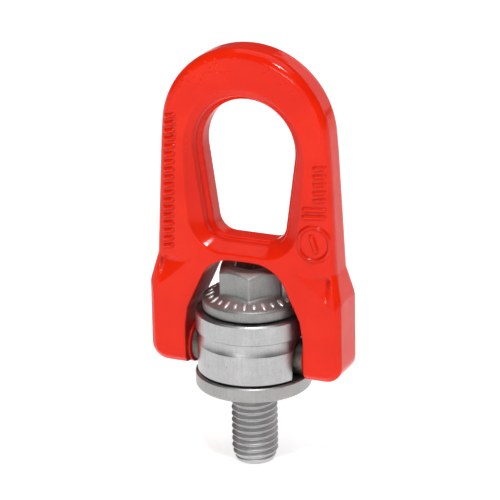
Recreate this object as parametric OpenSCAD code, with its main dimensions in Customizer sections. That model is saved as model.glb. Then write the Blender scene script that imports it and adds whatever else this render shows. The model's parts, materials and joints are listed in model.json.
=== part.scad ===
// Swivel hoist ring: a lifting link forged with two trunnions, held by a body that turns
// on a flanged bush, which a flanged hexagon bolt clamps to the load. The body's trunnion
// slots are open below, and the bush's flange closes them.
// Millimetres. +Z is the bolt's axis, X is the trunnion axis, and z = 0 is the face
// that seats on the load.

/* [Bolt] */
// Nominal diameter of the thread
thread_d = 12; // [11:0.5:12.4]
// Length of full thread below the mounting face
thread_length = 18.1; // [12:0.1:30]
// Length of the tapered end of the thread
thread_end_length = 3.4; // [1:0.1:5]
// Width of the hexagon head across its flats
hex_across_flats = 16; // [14:0.5:17]
// Height of the top of the hexagon head above the mounting face
hex_top = 32.7; // [30:0.1:32.8]
// Angle of the head as it was left when tightened
hex_turn = -12; // [-30:0.5:30]
// Width of the hexagon socket across its flats
socket_across_flats = 8; // [5:0.5:10]
// Depth of the hexagon socket
socket_depth = 5.5; // [3:0.1:8]
// Diameter of the round flange under the hexagon
bolt_flange_d = 25.8; // [22:0.1:27]

/* [Flanged bush] */
// Diameter of the flange that seats on the load
base_d = 30; // [27:0.1:30.4]
// Thickness of that flange
base_t = 4; // [3:0.1:4.3]
// Outside diameter of the sleeve that the body turns on
sleeve_d = 17.2; // [16:0.1:18]

/* [Swivel body] */
// Diameter of the lower band
lower_band_d = 28.8; // [28:0.1:29]
// Diameter of the upper band
upper_band_d = 29.3; // [28.6:0.1:29.6]
// Height of the top of the body
body_top = 20.8; // [20.2:0.1:20.9]
// Half width of the pocket round each trunnion
pocket_r = 5.95; // [5.4:0.05:6.4]
// Distance of each pocket's floor from the bolt's axis
pocket_floor = 12.8; // [11:0.1:13.5]

/* [Trunnions] */
// Diameter of each trunnion
trunnion_d = 9.2; // [7:0.1:9.2]
// Height of the trunnion axis above the mounting face
pivot_z = 9.2; // [9.2:0.1:10]

/* [Ball row] */
// Diameter of each ball
ball_d = 2.5; // [2:0.1:2.6]
// Height of the ball row
ball_z = 17.8; // [17:0.1:18.2]

/* [Lifting link] */
// Outside radius of the bow
bow_r = 22.9; // [22:0.1:26]
// Height of the bow's centre
bow_z = 68; // [60:0.1:75]
// Thickness of the arms
arm_t = 9.4; // [8:0.1:11]
// Thickness of the ears
ear_t = 12.6; // [11:0.1:14]
// Half width over the ears
ear_half_w = 26.4; // [25:0.1:28]
// Height of the lowest point of the ears
ear_bottom = 5; // [4:0.1:6]
// Radius at the top of the eye
eye_r = 12.7; // [10:0.1:13.5]
// Height of the centre of the eye's top
eye_z = 64.1; // [60:0.1:66]
// Height of the bottom of the eye
eye_bottom = 39.9; // [39.5:0.1:45]

/* [Hidden] */
$fn = 96;
BALLS = 20;
// Two digits, so that the names sort
function ball_name(i) = str("ball_", i < 10 ? "0" : "", i);

eps = 0.01;
running_fit = 0.05;          // radial clearance of every turning fit
sleeve_r = sleeve_d / 2;
trunnion_r = trunnion_d / 2;
ball_r = ball_d / 2;
ball_pitch_r = sleeve_r + running_fit / 2;
raceway_r = ball_r + running_fit;

// Bolt
seat_z = body_top + 0.3;     // underside of the bolt's flange, on top of the sleeve
flange_edge_z = 23.9;
hex_base_z = 26.1;
flange_r = bolt_flange_d / 2;
hex_r = hex_across_flats / 2 / cos(30);
shank_r = thread_d / 2 + 0.25;
thread_end_r = 4.6;

// Retaining ring, half in the shank and half in the bush
ring_z = 2.2;
ring_t = 1;
ring_in_r = shank_r - 0.5;
ring_out_r = shank_r + 0.75;
ring_play = 0.1;

// Body
body_bottom = base_t + 0.3;
step_z = 15.5;               // foot of the step below the upper band
cove_r = 8;                  // a shallow cove runs from the step to the lower band
cove_centre_r = 21.95;
cove_z = 14.9;               // height of the cove's deepest line
plug_r = 1.7;                // a ball passes through the filler hole

// Link
edge_r = 2.3;                // radius of the rounded edges of the bow and the arms
ear_in = 1.4;                // width of the rounded edge along the ears
ear_foot_in = 1.7;           // and round their lower corners
waist_z = 34;                // where the arms meet the ears
waist_half_w = 24.7;
waist_t = 10.2;              // the arms are thicker here
blend_half_w = 23.2;
shoulder_z = 26.6;             // the flare from the arms ends here
blend_z = 65;                // the arms are flat above this height
web_half_w = 13.5;           // the web between the arms is as thick as the ears
facet_z = 24.5;              // foot of the sloping facet on each ear
ear_corner_r = 4.4;
ear_inside = 16.2;           // inner face of each ear
boss_face = 15.4;            // face of the raised boss round each trunnion
trunnion_end = sleeve_r + 0.3;
boss_r = 5.4;
eye_corner_r = 4.5;
eye_corner_x = 5.5;
eye_land_front = -0.9;       // the eye is narrowest between these two depths
eye_land_back = 3.6;
eye_step = [-1.9, 1.3];      // depth and growth of a step towards the front
eye_ledge = [-3.4, 1.5];     // the step's other side, where the eye opens out fast
eye_front_slope = 1.75;      // growth for each millimetre outside the ledge
eye_back_slope = 1.2;
arch_shoulder_r = 9;
arch_shoulder_x = 3.1;
arch_shoulder_z = 26;
arch_slope = 24.6;           // slope of the arch's sides away from the ears

// Points of an arc in a plane, from angle a0 to angle a1
function arc(x, y, r, a0, a1, steps) =
    [for (i = [0:steps]) [x + r * cos(a0 + (a1 - a0) * i / steps),
                          y + r * sin(a0 + (a1 - a0) * i / steps)]];

// The points, then their mirror images in reverse order
function both_sides(points) =
    concat(points, [for (i = [len(points) - 1:-1:0]) [-points[i][0], points[i][1]]]);

// An X-Z outline as a plate centred on y = 0
module plate(thickness) {
    translate([0, thickness / 2, 0])
        rotate([90, 0, 0])
            linear_extrude(thickness) children();
}

// A cylinder along X from x0 to x1, at the trunnion axis
module along_x(r, x0, x1) {
    translate([x0, 0, pivot_z])
        rotate([0, 90, 0])
            cylinder(r = r, h = x1 - x0);
}

// A ring with a round section
module torus(ring_r, section_r) {
    rotate_extrude()
        translate([ring_r, 0])
            circle(r = section_r, $fn = 48);
}

// One level of the link, as thick as given at each half width
module level(z, half_w, thickness) {
    translate([-half_w, -thickness / 2, z])
        cube([2 * half_w, thickness, eps]);
}

// How far a rounded edge has turned in and how far it is below the face, at an angle
function edge_in(angle) = edge_r * (1 - cos(angle));
function edge_depth(angle) = edge_r * (1 - sin(angle));

// One level of the arms, with rounded edges
module round_level(z, half_w, thickness) {
    for (angle = [0:30:90])
        level(z, half_w - edge_in(angle), thickness - 2 * edge_depth(angle));
}

// The waist, shared by the arms above it and the ears below it
module waist() {
    level(waist_z, web_half_w, ear_t);
    round_level(waist_z, waist_half_w, waist_t);
}

module bow() {
    hull() {
        round_level(blend_z, blend_half_w, arm_t);
        for (angle = [0:30:90])
            plate(arm_t - 2 * edge_depth(angle))
                translate([0, bow_z]) circle(r = bow_r - edge_in(angle), $fn = 96);
    }
    hull() {
        waist();
        round_level(blend_z, blend_half_w, arm_t);
    }
}

module ears() {
    hull() {
        waist();
        for (side = [-1, 1]) {
            translate([side * (ear_half_w - ear_corner_r), 0, ear_bottom + ear_corner_r]) {
                plate(ear_t - 2 * ear_in) circle(r = ear_corner_r, $fn = 32);
                plate(ear_t) circle(r = ear_corner_r - ear_foot_in, $fn = 32);
            }
        }
        level(shoulder_z, ear_half_w, ear_t - 2 * ear_in);
        level(facet_z, ear_half_w - ear_in, ear_t);
    }
}

// Outline of the eye, grown by the given amount: an arc over two small corners. Its bottom
// moves down by only half of that, to leave the web its strength.
function eye_outline(grow) =
    let (
        corner_z = eye_bottom + eye_corner_r + grow / 2,
        rise = eye_z - corner_z,
        reach = sqrt(eye_corner_x * eye_corner_x + rise * rise),
        lean = acos((eye_r - eye_corner_r) / reach) - atan2(rise, eye_corner_x)
    )
    concat(
        arc(0, eye_z, eye_r + grow, lean, 180 - lean, 40),
        arc(-eye_corner_x, corner_z, eye_corner_r + grow, 180 - lean, 270, 10),
        arc(eye_corner_x, corner_z, eye_corner_r + grow, 270, 360 + lean, 10)
    );

// The part of the eye between two depths, from one growth to another
module eye_flare(depth0, grow0, depth1, grow1) {
    hull() {
        translate([0, depth0, 0]) plate(eps) polygon(eye_outline(grow0));
        translate([0, depth1, 0]) plate(eps) polygon(eye_outline(grow1));
    }
}

// The eye is narrowest from mid thickness to near the back, with a step at the front
module eye() {
    outside = ear_t / 2 + 1;
    translate([0, (eye_land_back + eye_land_front) / 2, 0])
        plate(eye_land_back - eye_land_front) polygon(eye_outline(0));
    eye_flare(eye_land_back - eps, 0, outside, eye_back_slope * (outside - eye_land_back));
    eye_flare(eye_land_front + eps, 0, eye_step[0], eye_step[1]);
    eye_flare(eye_step[0] + eps, eye_step[1], eye_ledge[0], eye_ledge[1]);
    eye_flare(eye_ledge[0] + eps, eye_ledge[1],
              -outside, eye_ledge[1] + eye_front_slope * (outside + eye_ledge[0]));
}

// Opening below the web, clear of the bolt's head as the link swings
module arch() {
    slope_foot = 20.8;
    plate(ear_t + 2)
        polygon(both_sides(concat(
            [[ear_inside, 0], [ear_inside, 15.5], [15.4, slope_foot]],
            arc(arch_shoulder_x, arch_shoulder_z, arch_shoulder_r, arch_slope, 90, 16)
        )));
}

module lifting_link() {
    color("orangered") {
        difference() {
            union() {
                bow();
                ears();
            }
            eye();
            arch();
        }
        for (side = [0, 1])
            mirror([side, 0, 0]) {
                along_x(boss_r, boss_face, ear_inside + 1);
                along_x(trunnion_r, trunnion_end, ear_inside + 1);
            }
    }
}

// Slot for a trunnion: round at the top, open at the bottom
module trunnion_slot(r, x0, x1) {
    along_x(r, x0, x1);
    translate([x0, -r, 0])
        cube([x1 - x0, 2 * r, pivot_z]);
}

module swivel_body() {
    rim = 0.4;
    step_bevel = 0.25;
    cove_top = 180 - asin((step_z - cove_z) / cove_r);
    cove_foot = 180 + acos((cove_centre_r - lower_band_d / 2) / cove_r);
    color("silver")
        difference() {
            rotate_extrude()
                polygon(concat(
                    [[sleeve_r + running_fit, body_bottom],
                     [lower_band_d / 2 - rim, body_bottom],
                     [lower_band_d / 2, body_bottom + rim]],
                    arc(cove_centre_r, cove_z, cove_r, cove_foot, cove_top, 8),
                    [[upper_band_d / 2 - step_bevel, step_z],
                     [upper_band_d / 2, step_z + step_bevel],
                     [upper_band_d / 2, body_top - rim],
                     [upper_band_d / 2 - rim, body_top],
                     [sleeve_r + running_fit, body_top]]
                ));
            translate([0, 0, ball_z]) torus(ball_pitch_r, raceway_r);
            translate([0, 0, ball_z])
                rotate([-90, 0, 0])
                    cylinder(r = plug_r, h = upper_band_d);
            for (side = [0, 1])
                mirror([side, 0, 0]) {
                    trunnion_slot(trunnion_r + running_fit, sleeve_r - 2, pocket_floor + 1);
                    trunnion_slot(pocket_r, pocket_floor, upper_band_d);
                }
        }
}

module flanged_bush() {
    base_r = base_d / 2;
    round_r = 0.9;
    bevel = 0.3;
    bore_r = shank_r + 0.1;
    color("silver")
        difference() {
            rotate_extrude()
                polygon(concat(
                    [[bore_r, 0]],
                    arc(base_r - round_r, round_r, round_r, -90, 0, 8),
                    [[base_r, base_t - bevel],
                     [base_r - bevel, base_t],
                     [sleeve_r, base_t],
                     [sleeve_r, seat_z],
                     [bore_r, seat_z]]
                ));
            translate([0, 0, ball_z]) torus(ball_pitch_r, raceway_r);
            translate([0, 0, ring_z - ring_t / 2 - ring_play / 2])
                cylinder(r = ring_out_r + ring_play, h = ring_t + ring_play);
        }
}

// The hexagon, bevelled by 30 degrees at its top corners
module hexagon_head() {
    bevel_r = hex_across_flats / 2 - 0.8;
    outer_r = hex_r + 1;
    intersection() {
        translate([0, 0, flange_edge_z])
            rotate([0, 0, hex_turn])
                cylinder(r = hex_r, h = hex_top - flange_edge_z, $fn = 6);
        rotate_extrude()
            polygon([
                [0, seat_z],
                [outer_r, seat_z],
                [outer_r, hex_top - (outer_r - bevel_r) * tan(30)],
                [bevel_r, hex_top],
                [0, hex_top]
            ]);
    }
}

// Everything on the bolt that is round, from the tip of the thread to the flange's cone
module bolt_turning() {
    inner_r = hex_across_flats / 2 - 1;
    cone_slope = (hex_base_z - flange_edge_z) / (flange_r - hex_across_flats / 2);
    groove = (ring_t + ring_play) / 2;
    rotate_extrude()
        polygon([
            [0, -thread_length - thread_end_length],
            [thread_end_r, -thread_length - thread_end_length],
            [thread_d / 2, -thread_length],
            [thread_d / 2, 0],
            [shank_r, 0],
            [shank_r, ring_z - groove],
            [ring_in_r - ring_play, ring_z - groove],
            [ring_in_r - ring_play, ring_z + groove],
            [shank_r, ring_z + groove],
            [shank_r, seat_z],
            [flange_r, seat_z],
            [flange_r, flange_edge_z],
            [inner_r, hex_base_z + cone_slope],
            [0, hex_base_z + cone_slope]
        ]);
}

module hoist_bolt() {
    color("darkgray")
        difference() {
            union() {
                hexagon_head();
                bolt_turning();
            }
            translate([0, 0, hex_top - socket_depth])
                rotate([0, 0, hex_turn])
                    cylinder(r = socket_across_flats / 2 / cos(30), h = socket_depth + 1, $fn = 6);
        }
}

// Split snap ring
module bolt_retaining_ring() {
    split = 3;
    color("dimgray")
        translate([0, 0, ring_z - ring_t / 2])
            difference() {
                cylinder(r = ring_out_r, h = ring_t);
                translate([0, 0, -1]) cylinder(r = ring_in_r, h = ring_t + 2);
                translate([0, -split / 2, -1]) cube([ring_out_r + 1, split, ring_t + 2]);
            }
}

// Plug that closes the hole through which the balls were loaded
module ball_filler_plug() {
    color("silver")
        intersection() {
            translate([0, ball_pitch_r + raceway_r + 0.2, ball_z])
                rotate([-90, 0, 0])
                    cylinder(r = plug_r, h = upper_band_d);
            cylinder(r = upper_band_d / 2 - 0.05, h = body_top);
        }
}

module ball(i) {
    color("lightgray")
        rotate([0, 0, 360 / BALLS * (i - 1)])
            translate([ball_pitch_r, 0, ball_z])
                sphere(r = ball_r, $fn = 48);
}

lifting_link();
swivel_body();
flanged_bush();
hoist_bolt();
bolt_retaining_ring();
ball_filler_plug();
for (i = [1:BALLS])
    ball(i);
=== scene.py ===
"""Swivel hoist ring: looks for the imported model. Lengths are in metres, +Z up."""

import json
import math

import bmesh
import bpy
import numpy as np
from mathutils import Matrix, Vector


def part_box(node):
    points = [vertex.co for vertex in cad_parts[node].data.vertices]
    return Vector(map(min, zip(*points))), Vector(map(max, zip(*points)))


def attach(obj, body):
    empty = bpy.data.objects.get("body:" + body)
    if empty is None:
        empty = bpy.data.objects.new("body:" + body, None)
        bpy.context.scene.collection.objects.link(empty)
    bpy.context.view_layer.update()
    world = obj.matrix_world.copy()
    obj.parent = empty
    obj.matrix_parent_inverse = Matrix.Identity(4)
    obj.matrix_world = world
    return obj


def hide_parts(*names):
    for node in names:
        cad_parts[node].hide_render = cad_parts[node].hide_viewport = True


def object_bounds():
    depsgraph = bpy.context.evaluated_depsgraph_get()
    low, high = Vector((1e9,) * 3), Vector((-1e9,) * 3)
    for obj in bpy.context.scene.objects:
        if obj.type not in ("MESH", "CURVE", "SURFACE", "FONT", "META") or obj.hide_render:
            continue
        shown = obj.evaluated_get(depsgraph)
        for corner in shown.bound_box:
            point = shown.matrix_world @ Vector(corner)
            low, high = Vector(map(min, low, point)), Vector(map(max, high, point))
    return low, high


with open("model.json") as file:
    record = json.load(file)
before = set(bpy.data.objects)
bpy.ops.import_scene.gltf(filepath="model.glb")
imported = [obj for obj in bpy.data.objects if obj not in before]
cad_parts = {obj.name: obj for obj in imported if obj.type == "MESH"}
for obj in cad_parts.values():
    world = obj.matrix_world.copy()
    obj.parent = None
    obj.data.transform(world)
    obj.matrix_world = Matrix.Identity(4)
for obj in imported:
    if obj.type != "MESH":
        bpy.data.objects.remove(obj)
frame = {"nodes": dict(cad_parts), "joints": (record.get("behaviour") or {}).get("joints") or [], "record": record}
cad_low, cad_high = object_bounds()

MM = 0.001
NODES = frame["nodes"]

# Places and sizes read from the frame
SEAT_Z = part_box("flanged_bush")[1][2]
BOLT_LOW, BOLT_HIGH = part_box("hoist_bolt")
PIVOT = Vector(next(j["pos_m"] for j in frame["joints"] if j["name"] == "link_swing"))
THREAD = next(m for m in frame["record"]["mounts"] if m["name"] == "threaded_shank")
THREAD_R = THREAD["dims"]["r_mm"] * MM
THREAD_LENGTH = THREAD["dims"]["length_mm"] * MM

# Bolt, as part.scad has it
HEX_FLATS = 16 * MM
SOCKET_FLATS = 8 * MM
SOCKET_DEPTH = 5.5 * MM
HEX_TURN = math.radians(-12)
HEX_BASE_Z = 26.1 * MM
FLANGE_EDGE_Z = 23.9 * MM
FLANGE_R = BOLT_HIGH[0]
SHANK_R = 6.25 * MM
HEX_TOP = BOLT_HIGH[2]
BEVEL_R = HEX_FLATS / 2 - 0.8 * MM
CONE_SLOPE = (HEX_BASE_Z - FLANGE_EDGE_Z) / (FLANGE_R - HEX_FLATS / 2)
PITCH = 1.75 * MM
THREAD_END_R = 4.6 * MM

# Link, as part.scad has it
TRUNNION_R = 4.6 * MM
TRUNNION_END = 8.9 * MM
BOSS_FACE = 15.4 * MM
BOW_CENTRE_Z = 68  # in mm, as the places of the marks and bubbles are

# Points of the link that are further than this from its middle plane are on its front or back
FACE_DEPTH = 3.6 * MM

# The link's skin: the grid that it is remeshed on, and what stands up from it
VOXEL = 0.22 * MM
MARK_HEIGHT = 0.62 * MM
MARK_SLOPE = 0.22 * MM
BUBBLE_HEIGHT = 0.16 * MM

# Hollow facet on each ear, three-cornered: the inner corner at its top, its width outwards
# from there, the direction across its slanted edge, and the depth for each length in from
# that edge, up to the reach
SCOOP_X = 14.2 * MM
SCOOP_TOP_Z = 34.4 * MM
SCOOP_WIDTH = 9.9 * MM
SCOOP_ACROSS = (0.685, 0.729)
SCOOP_DEPTH_SHARE = 0.24
SCOOP_REACH = 5.0 * MM

# Strokes on the flange's cone
STROKE_COUNT = 28
STROKE_MIDDLE_R = 10.9 * MM
STROKE_HALF_WIDTH = 0.62 * MM
STROKE_HALF_LENGTHS = (1.25 * MM, 0.8 * MM)

# Camera, in degrees and metres
CAMERA_AZIMUTH, CAMERA_ELEVATION, CAMERA_ROLL = 23.77, 20.57, -1.08
CAMERA_DISTANCE = 0.910
CAMERA_HALF_ANGLE = 4
CAMERA_SHIFT_X = -0.0033
CAMERA_TARGET_Z = 36.25 * MM


# ---------------------------------------------------------------- meshes

def new_object(name, mesh, body, *materials):
    piece = bpy.data.objects.new(name, mesh)
    bpy.context.scene.collection.objects.link(piece)
    for material in materials:
        mesh.materials.append(material)
    mesh.shade_smooth()
    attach(piece, body)
    return piece


def grid_mesh(name, rows):
    """A tube from rows of points round it; a row of one repeated point closes its end."""
    rows = np.asarray(rows, dtype=float)
    count, columns = rows.shape[:2]
    mesh = bpy.data.meshes.new(name)
    faces = []
    for i in range(count - 1):
        for j in range(columns):
            k = (j + 1) % columns
            faces.append((i * columns + j, i * columns + k,
                          (i + 1) * columns + k, (i + 1) * columns + j))
    mesh.from_pydata(rows.reshape(-1, 3).tolist(), [], faces)
    shape = bmesh.new()
    shape.from_mesh(mesh)
    bmesh.ops.remove_doubles(shape, verts=shape.verts, dist=MM / 10000)
    shape.to_mesh(mesh)
    shape.free()
    return mesh


def polar_rows(rings, columns, turn=0.0):
    """Rows for grid_mesh from rings (radius, z); each is a number or one value a column."""
    angles = np.linspace(0, 2 * math.pi, columns, endpoint=False) + turn
    rows = []
    for radius, z in rings:
        r = np.broadcast_to(radius, angles.shape)
        rows.append(np.stack([r * np.cos(angles), r * np.sin(angles),
                              np.broadcast_to(z, angles.shape)], axis=1))
    return rows


def hexagon_radius(angles, flats, softness):
    """Radius of a hexagon at each angle from a flat's middle, its corners slightly round."""
    away = [np.maximum(np.cos(angles - k * math.pi / 3), 0) ** softness for k in range(6)]
    return flats / 2 / np.sum(away, axis=0) ** (1 / softness)


def settled(source, *modifiers):
    """A copy of the mesh with these modifiers applied; each is (kind, settings)."""
    scratch = bpy.data.objects.new("scratch", source.copy())
    bpy.context.scene.collection.objects.link(scratch)
    for kind, settings in modifiers:
        modifier = scratch.modifiers.new(kind.lower(), kind)
        for key, value in settings.items():
            setattr(modifier, key, value)
    depsgraph = bpy.context.evaluated_depsgraph_get()
    mesh = bpy.data.meshes.new_from_object(scratch.evaluated_get(depsgraph))
    bpy.data.objects.remove(scratch)
    mesh.materials.clear()
    return mesh


def coordinates(mesh):
    points = np.empty(len(mesh.vertices) * 3)
    mesh.vertices.foreach_get("co", points)
    return points.reshape(-1, 3)


def set_coordinates(mesh, points):
    mesh.vertices.foreach_set("co", points.ravel())
    mesh.update()


# ------------------------------------------------------------- materials

class Shader:
    """Short names for building one material's nodes."""

    def __init__(self, name):
        self.material = bpy.data.materials.new(name)
        self.material.use_nodes = True
        self.tree = self.material.node_tree
        self.bsdf = self.tree.nodes["Principled BSDF"]
        self.position = self.add("ShaderNodeTexCoord").outputs["Object"]

    def add(self, kind, inputs=None, **settings):
        node = self.tree.nodes.new(kind)
        for key, value in settings.items():
            setattr(node, key, value)
        for key, value in (inputs or {}).items():
            self.put(node.inputs[key], value)
        return node

    def put(self, socket, value):
        if isinstance(value, bpy.types.NodeSocket):
            self.tree.links.new(value, socket)
        else:
            socket.default_value = value

    def set(self, **values):
        for key, value in values.items():
            self.put(self.bsdf.inputs[key.replace("_", " ")], value)

    def stretched(self, x, y, z):
        """Object coordinates in millimetres, scaled along each axis."""
        node = self.add("ShaderNodeMapping", {"Vector": self.position})
        node.inputs["Scale"].default_value = (x / MM, y / MM, z / MM)
        return node.outputs["Vector"]

    def calc(self, operation, a, b):
        return self.add("ShaderNodeMath", {0: a, 1: b}, operation=operation).outputs[0]

    def noise(self, vector, scale, detail=2.0, roughness=0.5):
        node = self.add("ShaderNodeTexNoise", {
            "Vector": vector, "Scale": scale, "Detail": detail, "Roughness": roughness})
        return node.outputs["Fac"]

    def ramp(self, value, *stops):
        """Colour ramp; each stop is (place, grey or colour)."""
        node = self.add("ShaderNodeValToRGB", {"Fac": value})
        elements = node.color_ramp.elements
        while len(elements) < len(stops):
            elements.new(0.5)
        for element, (place, colour) in zip(elements, stops):
            element.position = place
            if not isinstance(colour, tuple):
                colour = (colour, colour, colour)
            element.color = (*colour, 1)
        return node.outputs["Color"]

    def mix(self, factor, a, b, blend="MIX"):
        node = self.add("ShaderNodeMix", data_type="RGBA", blend_type=blend)
        for index, value in ((0, factor), (6, a), (7, b)):
            if isinstance(value, tuple):
                value = (*value, 1)
            self.put(node.inputs[index], value)
        return node.outputs[2]

    def bump(self, height, distance, below=None):
        node = self.add("ShaderNodeBump", {
            "Height": height, "Distance": distance, "Strength": 1.0})
        if below is not None:
            self.put(node.inputs["Normal"], below)
        return node.outputs["Normal"]


def enamel():
    """Thick glossy orange-red enamel, slightly uneven where it ran. Shade is painted into it:
    it is darker in creases, and darker and duller on the inner walls, more so in the arch
    than in the eye above it."""
    deep_red, light_red = (0.73, 0.013, 0.001), (0.80, 0.019, 0.002)
    dust_red, crease_shade_red, inner_shade_red = (0.45, 0.02, 0.01), (0.20, 0.004, 0.001), (0.24, 0.002, 0.001)
    s = Shader("link_enamel")
    where = s.stretched(1, 1, 1)
    runs = s.noise(where, 0.09, 2.0)
    peel = s.noise(where, 0.5, 2.0)
    dust = s.noise(where, 3.2, 3.0, 0.6)
    colour = s.mix(s.ramp(runs, (0.35, 0.0), (0.7, 1.0)), deep_red, light_red)
    colour = s.mix(s.ramp(dust, (0.70, 0.0), (0.80, 0.35)), colour, dust_red)
    # Painted shade: the enamel is made darker red in creases, found from how the surface bends
    bend = s.add("ShaderNodeNewGeometry").outputs["Pointiness"]
    colour = s.mix(s.ramp(bend, (0.42, 1.0), (0.492, 0.0)), colour, crease_shade_red)
    # Painted shade on the inner walls, which face the link's middle: darker red, less of it in the eye above the
    # arch, with higher roughness there as well
    place = s.add("ShaderNodeSeparateXYZ", {"Vector": s.position}).outputs
    facing = s.add("ShaderNodeTexCoord").outputs["Normal"]
    facing = s.add("ShaderNodeSeparateXYZ", {"Vector": facing}).outputs
    inward = s.calc("MULTIPLY", s.calc("MULTIPLY", place["X"], facing["X"]), -0.1 / MM)
    low = s.ramp(s.calc("MULTIPLY", place["Z"], 0.025 / MM), (0.86, 1.0), (0.95, 0.38))
    inside = s.calc("MULTIPLY", s.ramp(inward, (0.3, 0.0), (1.0, 0.85)), low)
    colour = s.mix(inside, colour, inner_shade_red)
    rough = s.mix(inside, s.ramp(peel, (0.3, 0.10), (0.7, 0.16)), (0.7, 0.7, 0.7))
    normal = s.bump(runs, 0.22 * MM)
    normal = s.bump(peel, 0.035 * MM, normal)
    s.set(Base_Color=colour, Roughness=rough, Normal=normal, Specular_IOR_Level=0.2)
    return s.material


def steel(name, light, dark, roughness, streaks, specks):
    """Satin steel with faint streaks along the axis, small dark specks and a fine grain;
    streaks and specks say how strong those are, from 0 to 1."""
    s = Shader(name)
    where = s.stretched(1, 1, 1)
    along = s.noise(s.stretched(1, 1, 0.12), 1.6, 3.0, 0.6)
    cloud = s.noise(where, 0.22, 3.0, 0.6)
    dots = s.noise(s.stretched(1, 1, 0.6), 1.9, 4.0, 0.6)
    grain = s.noise(where, 5.0, 3.0, 0.6)
    colour = s.mix(s.ramp(cloud, (0.3, 0.0), (0.7, 1.0)), dark, light)
    lines = s.ramp(along, (0.3, 1.0 - 0.22 * streaks), (0.62, 1.0))
    colour = s.mix(1.0, colour, lines, "MULTIPLY")
    speckle = s.ramp(grain, (0.3, 1.0 - 0.25 * specks), (0.6, 1.0))
    colour = s.mix(1.0, colour, speckle, "MULTIPLY")
    spots = s.ramp(dots, (0.66, 1.0), (0.72, 1.0 - 0.75 * specks))
    colour = s.mix(1.0, colour, spots, "MULTIPLY")
    rough = s.ramp(cloud, (0.3, roughness - 0.05), (0.7, roughness + 0.06))
    normal = s.bump(grain, 0.02 * MM)
    normal = s.bump(along, 0.012 * MM, normal)
    s.set(Base_Color=colour, Roughness=rough, Normal=normal, Metallic=1.0)
    return s.material


def floor_paper():
    """White paper that glows a little, so that shadows stay faint."""
    s = Shader("floor_paper")
    fibre = s.noise(s.stretched(1, 1, 1), 0.4, 3.0)
    s.set(Base_Color=s.ramp(fibre, (0.3, 0.88), (0.7, 0.90)), Roughness=0.9,
          Specular_IOR_Level=0.0, Emission_Color=(1, 1, 1, 1), Emission_Strength=0.6)
    return s.material


# ------------------------------------------------------------------ link

def near(points, x, z, half_x, half_z, turn=0.0):
    """Distance in the X-Z plane from a bar with round ends, less than 0 inside it."""
    c, s = math.cos(turn), math.sin(turn)
    dx = points[:, 0] - x
    dz = points[:, 2] - z
    u = np.abs(dx * c + dz * s)
    w = np.abs(-dx * s + dz * c)
    radius = min(half_x, half_z)
    past_x = np.maximum(u - (half_x - radius), 0)
    past_z = np.maximum(w - (half_z - radius), 0)
    return np.hypot(past_x, past_z) - radius


def raised_marks():
    """Plain bars and one frame in place of the cast marks: (x, z, half width, half height,
    turn, wall), in mm, with the turn in radians; a wall of 0 makes a mark solid."""
    marks = []
    for i in range(18):
        marks.append((-20.8 + 0.05 * i, 36.6 + 2.05 * i, 1.5, 0.36, 0.25, 0))
    for i in range(5):
        marks.append((20.9, 53.8 + 2.1 * i, 1.6, 0.34, 0.12, 0))
    marks.append((19.4, 42.2, 3.9, 4.4, 0.05, 0.6))
    marks.append((19.4, 42.2, 0.5, 2.4, 0.3, 0))
    marks.append((19.5, 49.3, 3.0, 0.4, 0.06, 0))
    marks.append((19.5, 51.3, 3.0, 0.4, 0.06, 0))
    return marks


def bubbles():
    """Small pimples in the enamel at the top of the bow: (x, z, radius), in mm."""
    spots = []
    for i in range(26):
        angle = math.radians(96 + 1.9 * i + 3.0 * math.sin(2.3 * i))
        out = 19.2 + 2.2 * math.sin(4.1 * i + 0.7)
        size = 0.22 + 0.07 * math.sin(5.7 * i)
        spots.append((out * math.cos(angle), BOW_CENTRE_Z + out * math.sin(angle), size))
    for i in range(7):
        angle = math.radians(38 + 5.3 * i)
        across, up = 18.5 * math.cos(angle), (18.5 + i % 3) * math.sin(angle)
        spots.append((across, BOW_CENTRE_Z + up, 0.2))
    return spots


def lifting_link(material):
    """The forging, its edges rounded by remeshing, with raised marks on its front."""
    mesh = settled(
        NODES["lifting_link"].data,
        ("REMESH", {"mode": "VOXEL", "voxel_size": VOXEL}),
        ("SMOOTH", {"factor": 0.5, "iterations": 15}),
    )
    points = coordinates(mesh)
    hide_trunnions(points)
    scoop_ears(points)
    height = np.zeros(len(points))
    for x, z, half_x, half_z, turn, wall in raised_marks():
        away = near(points, x * MM, z * MM, half_x * MM, half_z * MM, turn)
        if wall:
            away = np.abs(away) - wall * MM / 2
        share = soft_step(0.5 - away / (2 * MARK_SLOPE), 1)
        height = np.maximum(height, MARK_HEIGHT * share)
    for x, z, radius in bubbles():
        away = np.hypot(points[:, 0] - x * MM, points[:, 2] - z * MM) / (radius * MM * 1.5)
        height = np.maximum(height, BUBBLE_HEIGHT * np.clip(1 - away ** 2, 0, 1))
    front = points[:, 1] < -FACE_DEPTH
    points[front, 1] -= height[front]
    set_coordinates(mesh, points)
    link = new_object("link_forging", mesh, "link", material)
    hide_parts("lifting_link")


def soft_step(value, width):
    """0 up to 0, 1 from width on, and a smooth rise between them."""
    t = np.clip(value / width, 0, 1)
    return t * t * (3 - 2 * t)


def scoop_ears(points):
    """Hollows out the three-cornered facet where each arm widens into its ear."""
    x = np.abs(points[:, 0]) - SCOOP_X
    z = points[:, 2] - SCOOP_TOP_Z
    below_top = soft_step(-z, 2.0 * MM)
    from_slant = np.clip(SCOOP_ACROSS[0] * x + SCOOP_ACROSS[1] * z, 0, SCOOP_REACH)
    from_side = soft_step(SCOOP_WIDTH - x, 2.2 * MM)
    depth = SCOOP_DEPTH_SHARE * from_slant * below_top * from_side
    flat = np.abs(points[:, 1]) > FACE_DEPTH
    points[flat, 1] -= np.sign(points[flat, 1]) * depth[flat]


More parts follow.
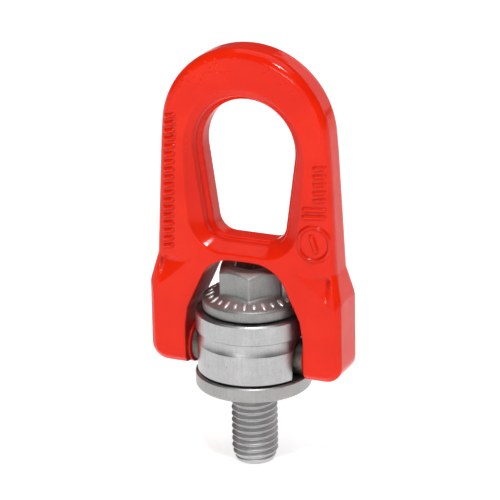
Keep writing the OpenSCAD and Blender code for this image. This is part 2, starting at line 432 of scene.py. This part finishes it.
def hide_trunnions(points):
    """Draws the forging's trunnions in, inside the bare ones that trunnions() makes."""
    across = points - np.array(PIVOT)
    radius = np.hypot(across[:, 1], across[:, 2])
    inner = (np.abs(points[:, 0]) < BOSS_FACE - 0.12 * MM) & (radius < TRUNNION_R + 1.1 * MM)
    wanted = np.minimum(radius, TRUNNION_R - 0.15 * MM)
    scale = np.where(inner & (radius > 0), wanted / np.maximum(radius, MM / 100), 1.0)
    points[:, 1] = PIVOT[1] + across[:, 1] * scale
    points[:, 2] = PIVOT[2] + across[:, 2] * scale


def trunnions(material):
    """The link's two trunnions, which are bare because the enamel stops short of them."""
    edge = 0.5 * MM
    rings = [(0.0, TRUNNION_END), (TRUNNION_R - edge, TRUNNION_END),
             (TRUNNION_R - edge * 0.3, TRUNNION_END + edge * 0.3),
             (TRUNNION_R, TRUNNION_END + edge), (TRUNNION_R, BOSS_FACE - 0.2 * MM),
             (TRUNNION_R, BOSS_FACE + edge), (0.0, BOSS_FACE + edge)]
    for side, name in ((1, "trunnion_right"), (-1, "trunnion_left")):
        rows = np.array(polar_rows(rings, 96))
        swapped = np.stack([side * rows[..., 2], rows[..., 0], side * rows[..., 1]], axis=-1)
        piece = new_object(name, grid_mesh(name, swapped + np.array(PIVOT)), "link", material)


# ------------------------------------------------------------------ bolt

def cone_z(radius):
    """Height of the flange's cone at this radius."""
    return FLANGE_EDGE_Z + (FLANGE_R - radius) * CONE_SLOPE


def bolt_head(material):
    """Hexagon, socket, coned flange and shank as one turned and forged surface."""
    columns = 6 * 48
    angles = np.linspace(0, 2 * math.pi, columns, endpoint=False) + math.pi / 6
    hexagon = hexagon_radius(angles, HEX_FLATS, 70)
    socket = hexagon_radius(angles, SOCKET_FLATS, 90)
    floor_z = HEX_TOP - SOCKET_DEPTH
    floor_dip = 0.9 * MM
    bevel_start = BEVEL_R + 0.1 * MM
    foot_round = 0.55 * MM
    rim_round = 0.7 * MM

    def bevel_z(radius):
        return HEX_TOP - (radius - BEVEL_R) * math.tan(math.radians(30))

    rings = [(0.0, floor_z - floor_dip), (socket * 0.93, floor_z), (socket, floor_z + 0.1 * MM),
             (socket, HEX_TOP - 0.45 * MM), (socket + 0.08 * MM, HEX_TOP - 0.2 * MM),
             (socket + 0.3 * MM, HEX_TOP - 0.04 * MM), (socket + 0.55 * MM, HEX_TOP)]
    rings += [(BEVEL_R - 0.5 * MM, HEX_TOP), (BEVEL_R - 0.12 * MM, HEX_TOP - 0.01 * MM),
              (bevel_start, bevel_z(bevel_start) - 0.02 * MM)]
    for share in (0.3, 0.6, 0.85):
        radius = bevel_start + share * (hexagon - bevel_start)
        rings.append((radius, bevel_z(radius)))
    for inward, down in ((0.13, 0.02), (0.05, 0.08), (0.01, 0.17), (0.0, 0.3)):
        rings.append((hexagon - inward * MM, bevel_z(hexagon) - down * MM))
    foot = cone_z(hexagon)
    for share in (0.25, 0.5, 0.75):
        rings.append((hexagon, (1 - share) * bevel_z(hexagon) + share * foot))
    for out, up in ((0.0, 0.55), (0.05, 0.32), (0.17, 0.14), (0.34, 0.05), (0.55, 0.0)):
        rings.append((hexagon + out * MM, cone_z(hexagon + out * MM) + up * MM))
    for share in (0.25, 0.5, 0.75):
        radius = hexagon + foot_round + share * (FLANGE_R - rim_round - hexagon - foot_round)
        rings.append((radius, cone_z(radius)))
    for inward, up in ((0.7, None), (0.35, None), (0.12, -0.05), (0.02, -0.25), (0.0, -0.5)):
        radius = FLANGE_R - inward * MM
        z = cone_z(radius) if up is None else FLANGE_EDGE_Z + up * MM
        rings.append((radius, z))
    rings += [(FLANGE_R, SEAT_Z + 0.5 * MM), (FLANGE_R - 0.06 * MM, SEAT_Z + 0.22 * MM),
              (FLANGE_R - 0.25 * MM, SEAT_Z + 0.04 * MM), (FLANGE_R - 0.5 * MM, SEAT_Z),
              (SHANK_R, SEAT_Z), (SHANK_R, 0.2 * MM), (0.0, 0.2 * MM)]
    rows = polar_rows(rings[::-1], columns, HEX_TURN)
    head = new_object("bolt_head", grid_mesh("bolt_head", rows), "bolt_and_bush", material)
    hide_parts("hoist_bolt")


def bolt_thread(material):
    """M12 thread to the metric profile: 0.6134 of the pitch deep, its crests 1/8 and its
    roots 1/4 of the pitch wide, with a tapered end. Its top is hidden in the bush."""
    columns = 96
    rows_per_turn = 18
    depth = 0.6134 * PITCH
    low = BOLT_LOW[2]
    angles = np.linspace(0, 2 * math.pi, columns, endpoint=False)
    heights = np.arange(low + 0.35 * MM, 0.25 * MM, PITCH / rows_per_turn)
    rows = [np.zeros((columns, 3)) + (0, 0, low + 0.05 * MM)]
    for share, up in ((0.55, 0.0), (0.82, 0.04), (0.93, 0.15)):
        rows += polar_rows([(THREAD_END_R * share, low + up * MM)], columns)
    for z in heights:
        phase = np.mod(z / PITCH - angles / (2 * math.pi), 1)
        from_crest = np.abs(phase - 0.5) * 2
        cut = np.clip((from_crest - 0.125) / 0.625, 0, 1)
        cut = cut * 0.75 + 0.25 * cut * cut * (3 - 2 * cut)
        end = (z - low) / (-THREAD_LENGTH - low)
        limit = THREAD_END_R + (THREAD_R - THREAD_END_R) * min(max(end, 0), 1) ** 0.8
        radius = np.minimum(THREAD_R - depth * cut, limit)
        rows += polar_rows([(radius, z)], columns)
    rows += polar_rows([(0.0, heights[-1])], columns)
    thread = new_object("bolt_thread", grid_mesh("bolt_thread", rows), "bolt_and_bush", material)


def flange_marks(material):
    """Raised strokes round the flange's cone, where such bolts carry their grade: long and
    short by turns, evenly spaced and all pointing outwards, so that they spell nothing."""
    vertices, faces = [], []
    for k in range(STROKE_COUNT):
        half_length = STROKE_HALF_LENGTHS[k % 2]
        turn = Matrix.Rotation(2 * math.pi * k / STROKE_COUNT, 3, "Z")
        start = len(vertices)
        for up, shrink in ((-0.4, 1.2), (0.2, 1.0), (0.34, 0.6)):
            for a, b in ((-1, -1), (1, -1), (1, 1), (-1, 1)):
                radius = STROKE_MIDDLE_R + a * half_length * shrink
                turned = turn @ Vector((radius, b * STROKE_HALF_WIDTH * shrink, 0))
                vertices.append((turned.x, turned.y, cone_z(radius) + up * MM))
        for level in (0, 4):
            for i in range(4):
                j = (i + 1) % 4
                faces.append((start + level + i, start + level + j,
                              start + level + 4 + j, start + level + 4 + i))
        faces.append(tuple(start + 8 + i for i in range(4)))
        faces.append(tuple(start + i for i in (3, 2, 1, 0)))
    mesh = bpy.data.meshes.new("flange_marks")
    mesh.from_pydata(vertices, [], faces)
    marks = new_object("flange_marks", mesh, "bolt_and_bush", material)
    rounding = marks.modifiers.new("round", "SUBSURF")
    rounding.levels = rounding.render_levels = 2


# ----------------------------------------------------------------- stage

def camera():
    azimuth, elevation = math.radians(CAMERA_AZIMUTH), math.radians(CAMERA_ELEVATION)
    roll = math.radians(CAMERA_ROLL)
    back = Vector((math.sin(azimuth) * math.cos(elevation),
                   -math.cos(azimuth) * math.cos(elevation), math.sin(elevation)))
    level = Vector((math.cos(azimuth), math.sin(azimuth), 0))
    up = back.cross(level)
    right = math.cos(roll) * level + math.sin(roll) * up
    up = back.cross(right)
    data = bpy.data.cameras.new("camera")
    data.sensor_width = 36
    data.lens = data.sensor_width / 2 / math.tan(math.radians(CAMERA_HALF_ANGLE))
    data.shift_x = CAMERA_SHIFT_X
    data.clip_end = 10
    seat = bpy.data.objects.new("camera", data)
    place = Vector((0, 0, CAMERA_TARGET_Z)) + back * CAMERA_DISTANCE
    turn = Matrix((right, up, back)).transposed()
    seat.matrix_world = Matrix.Translation(place) @ turn.to_4x4()
    bpy.context.scene.collection.objects.link(seat)
    bpy.context.scene.camera = seat


def area_light(name, place, target, size, power):
    data = bpy.data.lights.new(name, "AREA")
    data.shape = "RECTANGLE"
    data.size, data.size_y = size
    data.energy = power
    lamp = bpy.data.objects.new(name, data)
    place, target = Vector(place), Vector(target)
    lamp.location = place
    lamp.rotation_euler = (target - place).to_track_quat("-Z", "Y").to_euler()
    bpy.context.scene.collection.objects.link(lamp)


def studio():
    scene = bpy.context.scene
    scene.view_settings.view_transform = "Standard"
    world = bpy.data.worlds.new("studio")
    world.use_nodes = True
    background = world.node_tree.nodes["Background"]
    background.inputs["Color"].default_value = (1, 1, 1, 1)
    background.inputs["Strength"].default_value = 0.12
    scene.world = world
    middle = (0, 0, 0.035)
    area_light("top", (0, 0.05, 0.7), middle, (0.7, 0.7), 2.2)
    area_light("key", (0.17, -0.42, 0.70), middle, (0.10, 0.06), 3.0)
    area_light("back_card", (0.40, 1.05, 0.40), middle, (1.1, 0.6), 2.3)
    area_light("front", (0.30, -1.00, 0.28), middle, (0.7, 0.6), 1.2)
    area_light("low_key", (-0.10, -0.98, 0.16), middle, (0.22, 0.10), 0.7)


def floor(material):
    half = 3.0
    z = cad_low[2] - 0.1 * MM
    mesh = bpy.data.meshes.new("floor")
    mesh.from_pydata([(-half, -half, z), (half, -half, z), (half, half, z), (-half, half, z)],
                     [], [(0, 1, 2, 3)])
    mesh.materials.append(material)
    ground = bpy.data.objects.new("floor", mesh)
    bpy.context.scene.collection.objects.link(ground)


def paint(node, material):
    """Gives a CAD node's every material slot this material."""
    for slot in NODES[node].material_slots:
        slot.material = material


# ------------------------------------------------------------------ build

camera()
studio()
floor(floor_paper())

red = enamel()
body_steel = steel("body_steel", (0.50, 0.50, 0.505), (0.41, 0.41, 0.415), 0.32, 0.4, 0.8)
bush_steel = steel("bush_steel", (0.41, 0.41, 0.405), (0.33, 0.33, 0.325), 0.42, 0.4, 0.5)
bolt_steel = steel("bolt_steel", (0.40, 0.40, 0.395), (0.30, 0.30, 0.295), 0.50, 0.4, 0.9)
# Painted reflection: the thread gets a lighter copy of the bolt steel with fainter streaks, standing in for the
# bright floor that it reflects
thread_steel_painted_reflection = steel("thread_steel_painted_reflection", (0.60, 0.60, 0.60), (0.48, 0.48, 0.48), 0.48, 0.2, 0.6)
# Painted highlight: the flange's raised strokes get a much lighter copy of the bolt steel, so that they shine
# white like glints
mark_steel_painted_highlight = steel("mark_steel_painted_highlight", (0.92, 0.92, 0.92), (0.84, 0.84, 0.84), 0.42, 0.0, 0.2)
bare_steel = steel("bare_steel", (0.24, 0.215, 0.19), (0.10, 0.085, 0.075), 0.45, 0.6, 0.9)
ball_steel = steel("ball_steel", (0.75, 0.75, 0.76), (0.70, 0.70, 0.71), 0.12, 0.0, 0.0)

lifting_link(red)
trunnions(bare_steel)
bolt_head(bolt_steel)
bolt_thread(thread_steel_painted_reflection)
flange_marks(mark_steel_painted_highlight)
paint("swivel_body", body_steel)
paint("ball_filler_plug", body_steel)
paint("flanged_bush", bush_steel)
paint("bolt_retaining_ring", bare_steel)
for name in NODES:
    if name.startswith("ball_") and name[-2:].isdigit():
        paint(name, ball_steel)
